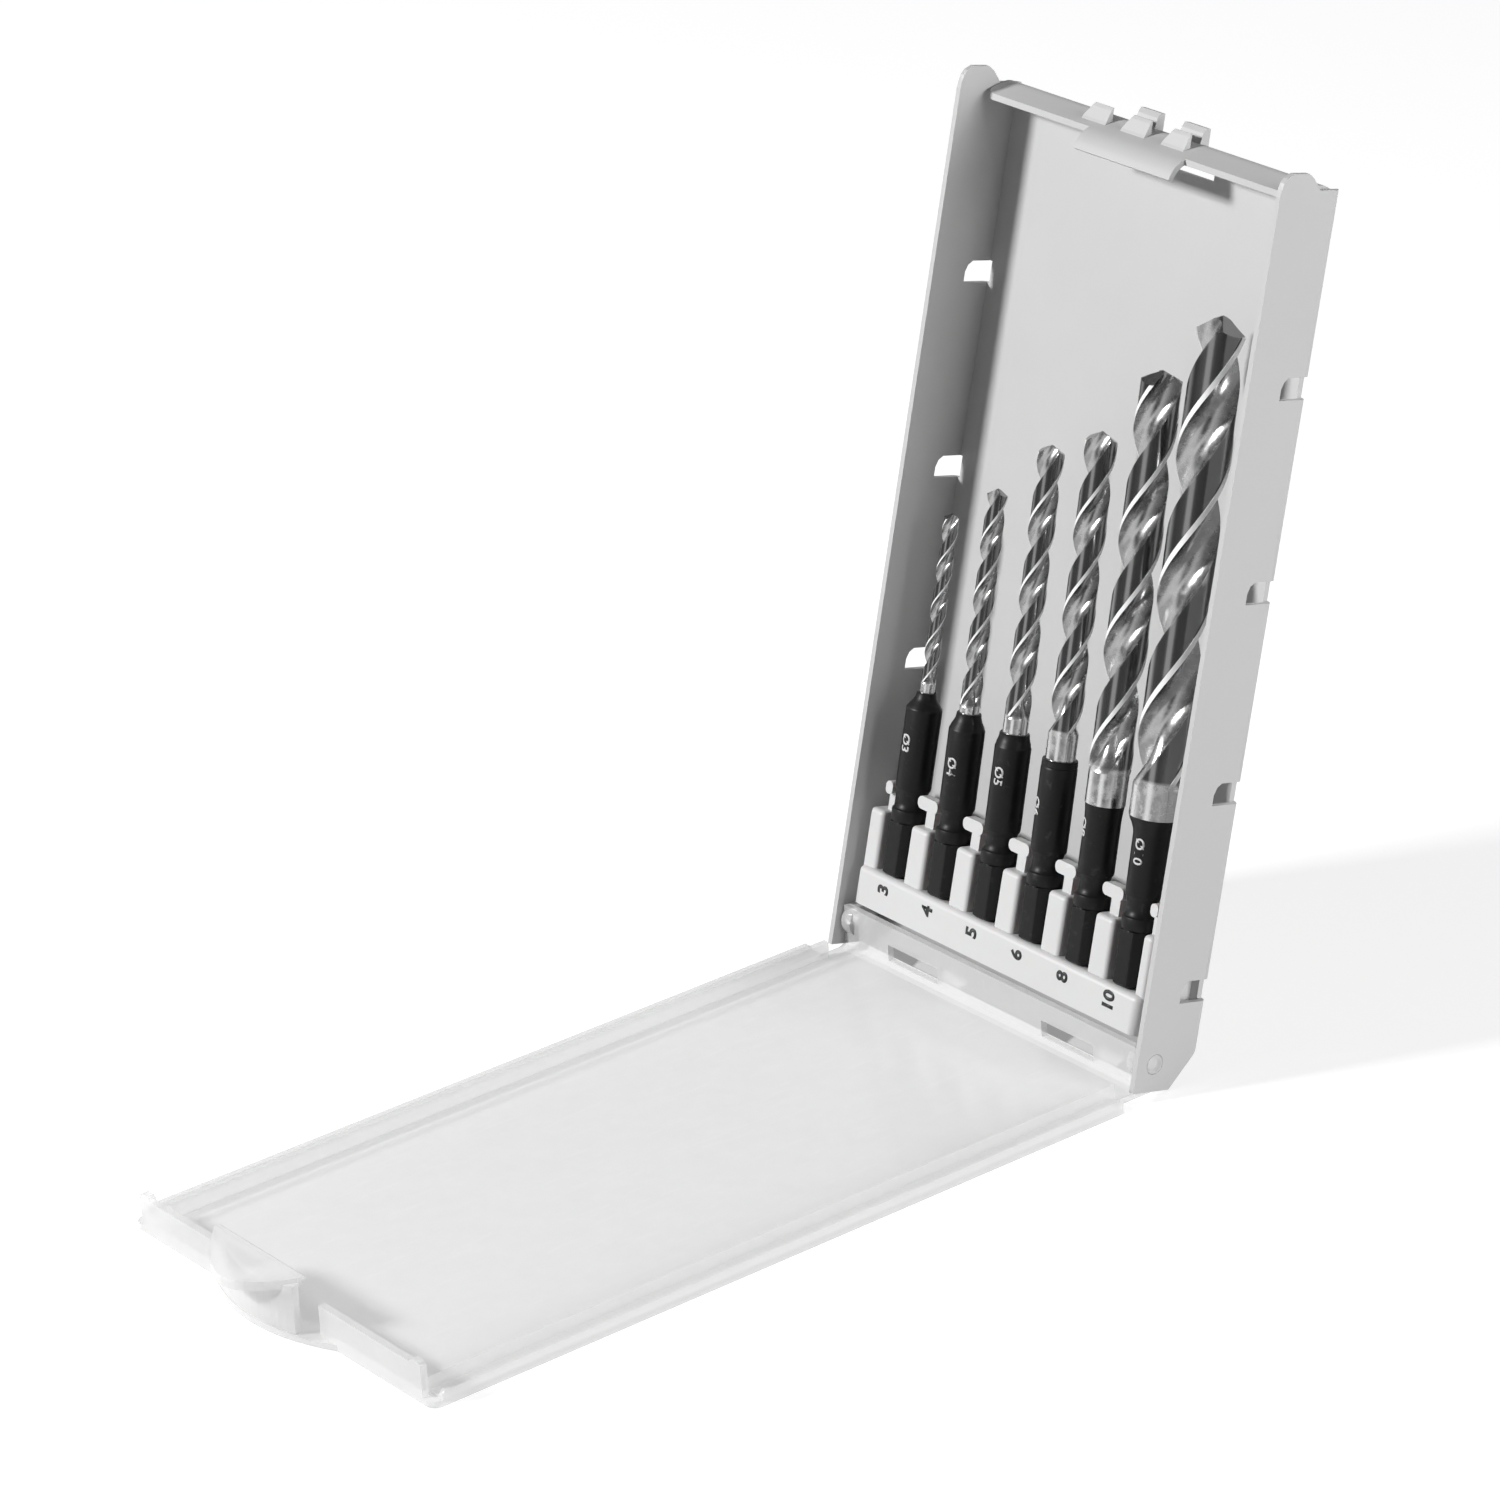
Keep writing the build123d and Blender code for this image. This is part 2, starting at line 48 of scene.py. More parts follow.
# tray axes: x across, w from the front edge backwards, v up the tray, in millimetres
def onTray(x, w, v):
    x, w, v = np.broadcast_arrays(x, w, v)
    y = w * cos(lean) + v * sin(lean) + trayShift
    z = v * cos(lean) + (heel - w) * sin(lean)
    return np.stack([x, y, z], -1) * mm


cameraView = {"azimuth": 52.768, "elevation": 24.264, "roll": -3.213, "offset": (-1.707, -68.270, 1217.751),
              "lens": 160.345, "sensor": 36.0, "clip": (0.05, 20)}


# the camera's axes from its azimuth, elevation and roll; offset is the frame's origin seen from it
def makeCamera(view):
    a, e, roll = (radians(view[k]) for k in ("azimuth", "elevation", "roll"))
    look = np.array([-sin(a) * cos(e), cos(a) * cos(e), -sin(e)])
    right = np.array([cos(a), sin(a), 0.0])
    up = np.cross(right, look)
    right, up = cos(roll) * right + sin(roll) * up, -sin(roll) * right + cos(roll) * up
    place = -(np.array(view["offset"]) @ np.stack([right, up, look])) * mm
    data = bpy.data.cameras.new("camera")
    data.lens, data.sensor_width = view["lens"], view["sensor"]
    data.clip_start, data.clip_end = view["clip"]
    camera = bpy.data.objects.new("camera", data)
    bpy.context.scene.collection.objects.link(camera)
    turn = Matrix([[right[i], up[i], -look[i]] for i in range(3)])
    camera.matrix_world = Matrix.Translation(Vector(place)) @ turn.to_4x4()
    bpy.context.scene.camera = camera


makeCamera(cameraView)
print("camera placed")


# one output of a shader node; an expression on these adds the Math nodes it needs
class Value:
    def __init__(self, finish, socket):
        self.finish, self.socket = finish, socket


# the method of Value for one operator, with the value on its left or, when swapped, on its right
def operator(operation, swapped):
    def work(value, other):
        pair = (other, value) if swapped else (value, other)
        return value.finish.math(operation, *pair)
    return work


for sign, operation in (("add", "ADD"), ("sub", "SUBTRACT"), ("mul", "MULTIPLY")):
    setattr(Value, f"__{sign}__", operator(operation, False))
    setattr(Value, f"__r{sign}__", operator(operation, True))


# the node tree of a material or a world
class Finish:
    def __init__(self, owner, end="ShaderNodeOutputMaterial"):
        owner.use_nodes = True
        self.owner, self.tree = owner, owner.node_tree
        self.tree.nodes.clear()
        self.end = self.tree.nodes.new(end)

    # any node: its type, its settings (set first; stops for a ramp), then values or links for its sockets
    def node(self, kind, settings=None, inputs=None, out=0):
        node = self.tree.nodes.new(kind)
        for key, value in (settings or {}).items():
            if key == "stops":
                ramp = node.color_ramp.elements
                while len(ramp) < len(value):
                    ramp.new(0.5)
                for stop, (place, level) in zip(ramp, value):
                    stop.position, stop.color = place, grey(level)
            else:
                setattr(node, key, value)
        for key, value in (inputs or {}).items():
            if isinstance(value, Value):
                self.tree.links.new(value.socket, node.inputs[key])
            else:
                node.inputs[key].default_value = value
        return Value(self, node.outputs[out])

    def math(self, operation, *values, clamp=False):
        settings = {"operation": operation, "use_clamp": clamp}
        return self.node("ShaderNodeMath", settings, dict(enumerate(values)))

    def clamp(self, value):
        return self.math("ADD", value, 0.0, clamp=True)

    def vector(self, operation, *values, out=0):
        return self.node("ShaderNodeVectorMath", {"operation": operation}, dict(enumerate(values)), out)

    def mix(self, share, a, b):
        return self.node("ShaderNodeMix", {"data_type": "RGBA"}, {0: share, 6: a, 7: b}, out=2)

    def ramp(self, value, *stops):
        return self.node("ShaderNodeValToRGB", {"stops": stops}, {0: value})

    def place(self, stretch=(1, 1, 1)):
        at = self.node("ShaderNodeTexCoord", out="Object")
        return self.node("ShaderNodeMapping", {}, {"Vector": at, "Scale": stretch})

    def noise(self, at, scale, detail=3.0, rough=0.5):
        inputs = {"Vector": at, "Scale": scale, "Detail": detail, "Roughness": rough}
        return self.node("ShaderNodeTexNoise", {}, inputs)

    def bump(self, height, strength, distance):
        return self.node("ShaderNodeBump", {}, {"Height": height, "Strength": strength, "Distance": distance})

    def principled(self, colour, rough, normal, extra=None):
        inputs = {"Base Color": colour, "Roughness": rough, "Normal": normal, **(extra or {})}
        return self.node("ShaderNodeBsdfPrincipled", {}, inputs)

    def surface(self, shader):
        self.tree.links.new(shader.socket, self.end.inputs["Surface"])
        return self.owner


def grey(level):
    return (level, level, level, 1)


def newMaterial(name, colour):
    material = bpy.data.materials.new(name)
    material.diffuse_color = colour
    return material


caseLook = {"pale": 0.56, "dark": 0.50, "rough": 0.46, "shine": 0.45, "cloud": 28, "cloudShare": 0.6,
            "rub": 90, "rubGloss": 0.07, "rubRamp": ((0.42, 0), (0.7, 1)),
            "grain": 2600, "grainShare": 0.25, "grainRough": 0.08, "grainBump": 0.35, "grainDepth": 0.00002}


# light grey moulded plastic: fine spark-eroded grain, faint clouding, rubbed patches a little glossier
def casePlastic(look):
    f = Finish(newMaterial("casePlastic", grey(look["pale"])))
    at = f.place()
    cloud = f.noise(at, look["cloud"], 4)
    rub = f.ramp(f.noise(at, look["rub"], 5, 0.6), *look["rubRamp"])
    grain = f.noise(at, look["grain"], 2, 0.7)
    share = cloud * look["cloudShare"] + grain * look["grainShare"]
    colour = f.mix(share, grey(look["dark"]), grey(look["pale"]))
    rough = look["rough"] - rub * look["rubGloss"] + grain * look["grainRough"]
    normal = f.bump(grain, look["grainBump"], look["grainDepth"])
    return f.surface(f.principled(colour, rough, normal, {"Specular IOR Level": look["shine"]}))


holderLook = {"pale": 0.66, "dark": 0.60, "rough": 0.36, "cloud": 45, "cloudShare": 0.5,
              "flow": (40, 180, 60), "flowShare": 0.4, "flowRough": 0.1,
              "grain": 3200, "grainShare": 0.6, "bump": 0.2, "depth": 0.00003,
              "soft": 0.08, "softDepth": 0.002}


# paler moulded plastic, faintly translucent, with flow lines from the mould
def holderPlastic(look):
    f = Finish(newMaterial("holderPlastic", grey(look["pale"])))
    at = f.place()
    cloud = f.noise(at, look["cloud"], 4)
    flow = f.noise(f.place(look["flow"]), 1.0, 3)
    grain = f.noise(at, look["grain"], 2, 0.6)
    share = cloud * look["cloudShare"] + flow * look["flowShare"]
    colour = f.mix(share, grey(look["dark"]), grey(look["pale"]))
    rough = look["rough"] + flow * look["flowRough"]
    normal = f.bump(grain * look["grainShare"] + flow * look["flowShare"], look["bump"], look["depth"])
    soft = {"Subsurface Weight": look["soft"], "Subsurface Scale": look["softDepth"]}
    return f.surface(f.principled(colour, rough, normal, soft))


clearLook = {"colour": 0.90, "hazeDark": 0.04, "tint": 0.97, "alpha": 0.4, "rough": 0.10, "body": 0.30,
             "haze": 60, "hazeBody": 0.06, "hazeRough": 0.05,
             "scuff": (600, 90, 300), "scuffRamp": ((0.55, 0), (0.75, 1)), "scuffBody": 0.015,
             "scuffRough": 0.08, "wave": 140, "waveBump": 0.12, "waveDepth": 0.0004,
             "blend": 0.35, "rim": 0.5}


# clear plastic, slightly frosted: see-through body, denser at grazing angles, faint scuffs and sink marks
def clearPlastic(look):
    f = Finish(newMaterial("clearPlastic", (*grey(look["colour"])[:3], look["alpha"])))
    at = f.place()
    haze = f.noise(at, look["haze"], 5, 0.6)
    scuff = f.ramp(f.noise(f.place(look["scuff"]), 1.0, 6, 0.7), *look["scuffRamp"])
    normal = f.bump(f.noise(at, look["wave"], 2), look["waveBump"], look["waveDepth"])
    colour = f.mix(haze, grey(look["colour"] - look["hazeDark"]), grey(look["colour"]))
    body = f.principled(colour, look["rough"] + scuff * look["scuffRough"] + haze * look["hazeRough"], normal)
    clear = f.node("ShaderNodeBsdfTransparent", {}, {"Color": grey(look["tint"])})
    facing = f.node("ShaderNodeLayerWeight", {}, {"Blend": look["blend"], "Normal": normal}, out="Facing")
    share = look["body"] + haze * look["hazeBody"] + scuff * look["scuffBody"] + facing * facing * look["rim"]
    return f.surface(f.node("ShaderNodeMixShader", {}, {0: f.clamp(share), 1: clear, 2: body}))


blackLook = {"dark": 0.003, "pale": 0.010, "rough": 0.30, "shine": 0.22, "turned": (30, 30, 9000),
             "turnedRough": 0.06, "speckle": 1500, "speckleRough": 0.18, "wear": 420,
             "wearRamp": ((0.60, 0), (0.72, 1)), "wearShare": 0.22, "wearLevel": 0.09, "bump": 0.25,
             "depth": 0.00002}


# black oxide over turned steel: fine turning marks round the shank, speckle and paler rubs
def blackOxide(look):
    f = Finish(newMaterial("blackOxide", grey(look["pale"])))
    at = f.place()
    turned = f.noise(f.place(look["turned"]), 1.0, 2)
    speckle = f.noise(at, look["speckle"], 4, 0.7)
    wear = f.ramp(f.noise(at, look["wear"], 5, 0.65), *look["wearRamp"])
    colour = f.mix(speckle, grey(look["dark"]), grey(look["pale"]))
    colour = f.mix(wear * look["wearShare"], colour, grey(look["wearLevel"]))
    rough = look["rough"] + speckle * look["speckleRough"] + turned * look["turnedRough"]
    normal = f.bump(turned * 0.5 + speckle * 0.5, look["bump"], look["depth"])
    return f.surface(f.principled(colour, rough, normal, {"Specular IOR Level": look["shine"]}))


# the margin colour is near white and the margins lose most of their metal: a painted highlight; the plain
# stem takes half of that pale colour and stays metal
steelLook = {"land": 0.24, "flute": 0.42, "fluteDark": 0.8, "flutePale": 1.15, "margin": 0.95, "rough": 0.15,
             "lines": (900, 14, 1), "linesRough": 0.05, "linesBump": 0.12, "linesDepth": 0.00002,
             "cloud": 520, "cloudRamp": ((0.30, 0), (0.74, 1)), "cloudRough": 0.16,
             "marginRough": 0.2, "marginPaintedHighlight": 0.75}


# ground and polished high speed steel: darker lands, clouded flutes with fine grinding lines, and margins
# painted near white and less metallic, a painted highlight that stays bright from any side
def brightSteel(look):
    f = Finish(newMaterial("brightSteel", grey(look["flute"])))
    flute = f.node("ShaderNodeAttribute", {"attribute_name": "flute"}, out="Fac")
    margin = f.node("ShaderNodeAttribute", {"attribute_name": "margin"}, out="Fac")
    path = f.node("ShaderNodeUVMap", {"uv_map": "drillPath"})
    lines = f.noise(f.node("ShaderNodeMapping", {}, {"Vector": path, "Scale": look["lines"]}), 1.0, 2)
    cloud = f.ramp(f.noise(f.place(), look["cloud"], 5, 0.6), *look["cloudRamp"])
    dark, pale = look["flute"] * look["fluteDark"], look["flute"] * look["flutePale"]
    colour = f.mix(flute, grey(look["land"]), f.mix(cloud, grey(dark), grey(pale)))
    # the margins are painted near white: a painted highlight
    colour = f.mix(margin, colour, grey(look["margin"]))
    # margins off the stem: rougher because they are ground, and with most of their metal taken off to show
    # the painted highlight
    groundAndPaintedHighlight = margin * (1 - flute)
    rough = look["rough"] + cloud * flute * look["cloudRough"] + lines * look["linesRough"]
    rough = rough + groundAndPaintedHighlight * look["marginRough"]
    normal = f.bump(lines, look["linesBump"], look["linesDepth"])
    return f.surface(f.principled(colour, rough, normal, {"Metallic": 1 - groundAndPaintedHighlight * look["marginPaintedHighlight"]}))


inkLook = {"patch": 2500, "dark": 0.8, "pale": 1.15, "rough": 0.1, "bump": 0.2, "depth": 0.00002}


# marking ink: dense, slightly uneven
def ink(name, level, rough, look):
    f = Finish(newMaterial(name, grey(level)))
    patch = f.noise(f.place(), look["patch"], 3, 0.7)
    colour = f.mix(patch, grey(level * look["dark"]), grey(min(1.0, level * look["pale"])))
    normal = f.bump(patch, look["bump"], look["depth"])
    return f.surface(f.principled(colour, rough + patch * look["rough"], normal))


finishes = {"case": casePlastic(caseLook), "holder": holderPlastic(holderLook),
            "clear": clearPlastic(clearLook), "black": blackOxide(blackLook), "steel": brightSteel(steelLook),
            "digits": ink("digitInk", 0.012, 0.4, inkLook), "marks": ink("markInk", 0.62, 0.5, inkLook)}
print("materials made")


# a mesh from arrays of points and faces, on its body, with its finish
def addPiece(name, points, faces, finish, body, sharp=32, attributes=None, uv=None):
    mesh = bpy.data.meshes.new(name)
    mesh.from_pydata(np.asarray(points, float).reshape(-1, 3).tolist(), [], faces)
    mesh.update()
    for key, values in (attributes or {}).items():
        attribute = mesh.attributes.new(key, "FLOAT", "POINT")
        attribute.data.foreach_set("value", np.asarray(values, np.float32).ravel())
    if uv is not None:
        corner = np.zeros(len(mesh.loops), np.int32)
        mesh.loops.foreach_get("vertex_index", corner)
        layer = mesh.uv_layers.new(name="drillPath")
        layer.data.foreach_set("uv", uv.reshape(-1, 2)[corner].astype(np.float32).ravel())
    mesh.shade_smooth()
    mesh.set_sharp_from_angle(angle=radians(sharp))
    piece = bpy.data.objects.new(name, mesh)
    bpy.context.scene.collection.objects.link(piece)
    mesh.materials.append(finish)
    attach(piece, body)
    return piece


# points of a piece that meet are joined
def mergeDoubles(mesh, distance=1e-7):
    work = bmesh.new()
    work.from_mesh(mesh)
    bmesh.ops.remove_doubles(work, verts=work.verts, dist=distance)
    work.to_mesh(mesh)
    work.free()


# quads over a grid of rows by columns, closed round the columns, and a fan that closes the foot on one more
# point
def tubeFaces(rows, columns):
    i = np.arange(rows - 1)[:, None] * columns
    j = np.arange(columns)[None, :]
    k = (j + 1) % columns
    quads = np.stack([i + j, i + k, i + columns + k, i + columns + j], -1).reshape(-1, 4).tolist()
    j, k = j[0], k[0]
    return quads + np.stack([k, j, np.full(columns, rows * columns)], -1).tolist()


# a fan that closes the top row on the point after the foot's
def crownFaces(rows, columns):
    j = np.arange(columns)
    last = (rows - 1) * columns
    crown = np.full(columns, rows * columns + 1)
    return np.stack([last + j, last + (j + 1) % columns, crown], -1).tolist()


bitFields = ("size", "x", "lean", "top", "plain", "flutes", "turn", "shoulder")
bits = [dict(zip(bitFields, row)) for row in (
    # size, foot across, lean, top of the black shank, plain length, flute length, flutes' turn, shoulder
    (3, -32.0, 0.8, 53.3, 1.8, 33, -42, 3.2),
    (4, -18.8, 2.0, 52.9, 1.2, 42, -73, 3.2),
    (5, -5.6, 2.1, 53.0, 2.9, 52, -37, 2.6),
    (6, 7.6, 2.3, 51.9, 5.0, 57, 26, 1.6),
    (8, 20.8, 2.1, 47.6, 6.2, 75, 81, 3.0),
    (10, 34.0, 2.0, 49.3, 5.9, 87, 33, 3.4))]
# bit axis behind the front edge, level of the block's top, hexagon's corner radius
seat = {"depth": 5.0, "level": 17.1, "corner": 3.6}


# a bit's own axes to the tray's: it leans left about its foot and stands on the lower corner of its hexagon
def onBit(bit, x, w, v):
    a = radians(bit["lean"])
    rise = v - seat["level"]
    return onTray(bit["x"] + x * cos(a) - rise * sin(a), seat["depth"] + w,
                  seat["level"] + seat["corner"] * sin(a) + x * sin(a) + rise * cos(a))


drillShape = {  # lengths as shares of the diameter, angles in degrees; the step up the body is in millimetres
    "helix": 31.0, "web": 0.11, "flute": 0.43, "margin": 13.0, "relief": 0.05, "halfPoint": 65.0,
    "lip": 137.0, "heelFall": 0.46, "spine": 0.25, "step": 0.45, "fluteCount": 34, "landCount": 18,
    "marginCount": 6, "marginGap": 0.012, "point": 0.35, "pointRows": 8, "runOut": 1.3, "runOutRows": 18,
    "stem": 0.475, "fadeAt": (0, 0.14, 0.42, 0.85, 1.2), "fadeTo": (0.475, 0.4, 0.25, 0.13, 0),
    "stemTop": 0.15, "stemShine": 0.5, "below": 0.02, "pathLength": 100, "sharp": 38}


# section for a drill of diameter 1, one loop anticlockwise: a flute's circular hollow, then a land lowered
# behind a narrow full-radius margin at its leading edge, and both again half a turn on
def drillSection(shape):
    rho, c = shape["flute"], shape["web"] + shape["flute"]
    low = 0.5 * (1 - shape["relief"])

    # angle at which the hollow's circle meets radius r
    def meet(r):
        return acos((r * r + c * c - rho * rho) / (2 * r * c))

    lead, heelAngle = meet(0.5), meet(low)
    b0 = atan2(-0.5 * sin(lead), 0.5 * cos(lead) - c)
    b1 = atan2(low * sin(heelAngle), low * cos(heelAngle) - c) - 2 * pi
    b = np.linspace(b0, b1, shape["fluteCount"])
    stop = pi - lead
    start = stop - radians(shape["margin"])
    a = np.linspace(heelAngle, start, shape["landCount"])[1:]
    m = np.linspace(start + shape["marginGap"], stop, shape["marginCount"])[:-1]
    x = np.concatenate([c + rho * np.cos(b), low * np.cos(a), 0.5 * np.cos(m)])
    y = np.concatenate([rho * np.sin(b), low * np.sin(a), 0.5 * np.sin(m)])
    flute = np.concatenate([np.ones(len(b)), np.zeros(len(a) + len(m))])
    flute[0] = 0
    margin = np.concatenate([np.zeros(len(b) + len(a)), np.ones(len(m))])
    margin[0] = 1
    points = np.stack([x, y], -1)
    return np.concatenate([points, -points]), np.tile(flute, 2), np.tile(margin, 2)


# points turned about the drill's axis
def spin(points, angle):
    c, s = np.cos(angle), np.sin(angle)
    return np.stack([points[..., 0] * c - points[..., 1] * s, points[..., 0] * s + points[..., 1] * c], -1)


# height of the ground point over section points: it falls away from the lip and, behind it, towards the heel
def pointHeight(points, shape, d):
    up = np.where(points[..., 1] >= 0, 1.0, -1.0)[..., None]
    p = points * up
    a = radians(shape["lip"])
    lip = np.array([cos(a), sin(a)])
    behind = np.array([sin(a), -cos(a)])
    fall = 1 / tan(radians(shape["halfPoint"]))
    return -d * (fall * np.abs(p @ lip) + shape["heelFall"] * np.maximum(p @ behind, 0))


# where the ground point cuts each section point's helix, found by three rounds of the height at that turn
def onPoint(section, shape, d, length, rate):
    top = np.full(section.shape[:-1], length, float)
    for _ in range(3):
        top = length + pointHeight(spin(section, (top - length) * rate), shape, d)
    return top


# drill: the section carried up the axis, turning with the helix; hollows fade out into the round stem at the
# foot, and the top ring follows the ground point, which is closed by rings drawn in to the web's spine
def makeDrill(bit, shape):
    d, length = bit["size"], bit["flutes"]
    section, flute, margin = drillSection(shape)
    count, capRows = len(section), shape["pointRows"]
    rate = 2 * tan(radians(shape["helix"])) / d                      # radians per millimetre
    runOut = d * shape["runOut"]
    body = np.linspace(runOut, length - d * shape["point"], int(length / shape["step"]))[1:]
    heights = np.concatenate([[-bit["plain"], -shape["below"]],
                              np.linspace(0, runOut, shape["runOutRows"]), body])
    z = heights[:, None] * np.ones(count)
    ring = spin(section[None], np.maximum(z, 0) * rate) * d
    size = np.linalg.norm(ring, axis=-1)
    fade = np.interp(z, np.multiply(shape["fadeAt"], d), np.multiply(shape["fadeTo"], d))
    ring *= np.where(z < 0, shape["stem"] * d / size, np.maximum(1, fade / size))[..., None]
    top = onPoint(section, shape, d, length, rate)
    steps = np.linspace(0, 1, capRows + 1)[1:, None]
    zTop = heights[-1] + (top - heights[-1]) * steps
    ringTop = spin(section[None], zTop * rate) * d
    spine = np.stack([np.zeros(count), np.clip(section[:, 1], -shape["spine"], shape["spine"])], -1)
    flat = section + (spine - section) * steps[..., None]
    zCap = onPoint(flat, shape, d, length, rate)
    cap = spin(flat, zCap * rate) * d
    points = np.concatenate([np.concatenate([plane, level[..., None]], -1)
                             for plane, level in ((ring, z), (ringTop, zTop), (cap, zCap))])
    rows = len(points)
    across = np.tile(np.arange(count) / count, (rows, 1))
    along = points[..., 2] / shape["pathLength"]
    uv = np.concatenate([np.stack([across, along], -1).reshape(-1, 2), [[0, 0]]])
    stem = points[..., 2] <= shape["stemTop"] * d
    onBody = ~stem & (np.arange(rows)[:, None] < rows - capRows)
    fluteMask = np.append(np.where(stem, 1.0, flute * onBody), 1)
    # margin mask: the margins get the painted highlight; the plain stem gets half of its pale colour
    marginHighlightMask = np.append(np.where(stem, shape["stemShine"], margin * onBody), 0)
    flatPoints = np.concatenate([points.reshape(-1, 3), [[0, 0, -bit["plain"]]]])
    flatPoints[:, :2] = spin(flatPoints[:, :2], np.full(len(flatPoints), radians(bit["turn"])))
    level = bit["top"] + bit["plain"] + flatPoints[:, 2]
    placed = onBit(bit, flatPoints[:, 0], flatPoints[:, 1], level)
    piece = addPiece(f"drill{bit['size']}", placed, tubeFaces(rows, count), finishes["steel"],
                     f"bit_{bit['size']}", shape["sharp"],
                     {"flute": fluteMask, "margin": marginHighlightMask}, uv)
    mergeDoubles(piece.data)
    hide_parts(f"drill_{bit['size']}")


for bit in bits:
    makeDrill(bit, drillShape)
print("drills made")


shankShape = {"bottom": 17.12, "flats": 6.35, "corner": 3.6, "round": 6.9, "ringBottom": 27.9,
              "ringTop": 30.4, "grooveTop": 34.2, "groove": 2.75, "collar": 0.35, "columns": 96, "sharp": 28}


# (radius, level) up the turned part: ring, groove, body, then the shoulder down or out to the drill
def turnedProfile(bit, s):
    r, top, long, drill = s["round"] / 2, bit["top"], bit["shoulder"], bit["size"] / 2
    g, low, high, grooveTop = s["groove"], s["ringBottom"], s["ringTop"], s["grooveTop"]
    neck = min(drill + s["collar"], r) if drill < r else drill - s["collar"]
    out = neck - r
    shoulder = top - long
    profile = [(r - 0.28, low - 0.05), (r - 0.06, low + 0.12), (r, low + 0.35),
               (r, high - 0.35), (r - 0.06, high - 0.12), (r - 0.25, high),
               (g + 0.32, high + 0.22), (g + 0.08, high + 0.7), (g, high + 1.25),
               (g + 0.02, grooveTop - 1.35), (g + 0.25, grooveTop - 0.8),
               (r - 0.3, grooveTop - 0.2), (r - 0.08, grooveTop + 0.05), (r, grooveTop + 0.35),
               (r, shoulder - 0.1)]
    if drill < r:
        profile += [(r - 0.03, shoulder + 0.06), (r - 0.14, shoulder + 0.26),
                    (neck - out * 0.66, shoulder + long * 0.28), (neck - out * 0.34, shoulder + long * 0.48),
                    (neck - out * 0.12, shoulder + long * 0.68), (neck - out * 0.02, top - 0.35)]
    else:
        profile += [(r + out * 0.12, shoulder + long * 0.2), (r + out * 0.5, top - long * 0.45),
                    (r + out * 0.88, top - long * 0.2)]
    return profile + [(neck, top - 0.12), (neck - 0.1, top)]


# shank: rings of radius r(angle, height); the hexagon is apothem over the cosine to the nearest flat, rounded
# off at its corners, and blends into the turned part above it
def makeShank(bit, s):
    angle = np.arange(s["columns"]) / s["columns"] * 2 * pi
    fromFlat = np.abs(angle % (pi / 3) - pi / 6)
    hexagon = np.minimum(s["flats"] / 2 / np.cos(fromFlat), s["corner"])
    rounded = np.minimum(hexagon, s["flats"] / 2 + 0.1)
    rings = [(hexagon * 0.82, s["bottom"]), (hexagon, s["bottom"] + 0.45), (hexagon, s["ringBottom"] - 1.0),
             (hexagon * 0.72 + rounded * 0.28, s["ringBottom"] - 0.15)]
    rings += [(np.full(s["columns"], r), level) for r, level in turnedProfile(bit, s)]
    radii = np.array([r for r, _ in rings])
    levels = np.array([level for _, level in rings])[:, None]
    x, w = radii * np.cos(angle), radii * np.sin(angle)
    points = onBit(bit, x, w, np.broadcast_to(levels, x.shape)).reshape(-1, 3)
    ends = onBit(bit, np.zeros(2), np.zeros(2), np.array([s["bottom"], bit["top"]]))
    faces = tubeFaces(*radii.shape) + crownFaces(*radii.shape)
    piece = addPiece(f"shank{bit['size']}", np.concatenate([points, ends]), faces, finishes["black"],
                     f"bit_{bit['size']}", s["sharp"])
    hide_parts(f"shank_{bit['size']}")


for bit in bits:
    makeShank(bit, shankShape)
print("shanks made")


letterShape = {"extrude": 0.01, "curve": 6}


# a font's outline made a mesh, scaled to a height, centred and returned as arrays
def textMesh(text, look):
    curve = bpy.data.curves.new("text", "FONT")
    curve.body, curve.size, curve.offset = text, 1.0, look["weight"]
    curve.extrude, curve.resolution_u, curve.align_x = letterShape["extrude"], letterShape["curve"], "CENTER"
    holder = bpy.data.objects.new("text", curve)
    bpy.context.scene.collection.objects.link(holder)
    mesh = bpy.data.meshes.new_from_object(holder.evaluated_get(bpy.context.evaluated_depsgraph_get()))
    co = np.zeros(len(mesh.vertices) * 3)
    mesh.vertices.foreach_get("co", co)
    co = co.reshape(-1, 3)
    faces = [list(p.vertices) for p in mesh.polygons]
    bpy.data.objects.remove(holder)
    bpy.data.meshes.remove(mesh)
    low, high = co.min(0), co.max(0)
    co = (co - (low + high) / 2) / (high[1] - low[1]) * look["height"]
    co[:, 2] = np.sign(co[:, 2]) * look["depth"] / 2
    return co, faces


digitLook = {"height": 3.1, "weight": 0.04, "depth": 0.04, "level": 14.4, "front": 1.2, "first": -32.15,
             "pitch": 12.94}


# digits read upwards on the holder's front face, their heads to the left
def makeDigits(look):
    for i, bit in enumerate(bits):
        co, faces = textMesh(str(bit["size"]), look)
        across = look["first"] + look["pitch"] * i
        placed = onTray(across - co[:, 1], look["front"] - co[:, 2], look["level"] + co[:, 0])
        piece = addPiece(f"digit{bit['size']}", placed, faces, finishes["digits"], "tray")
        mergeDoubles(piece.data)


makeDigits(digitLook)
markLook = {"height": 2.1, "weight": 0.02, "depth": 0.03, "lift": 0.005}
markPlaces = {3: (43.5, -2), 4: (42.75, 11), 5: (45.0, 11), 6: (42.75, -25), 8: (42.9, -30), 10: (42.9, 11)}


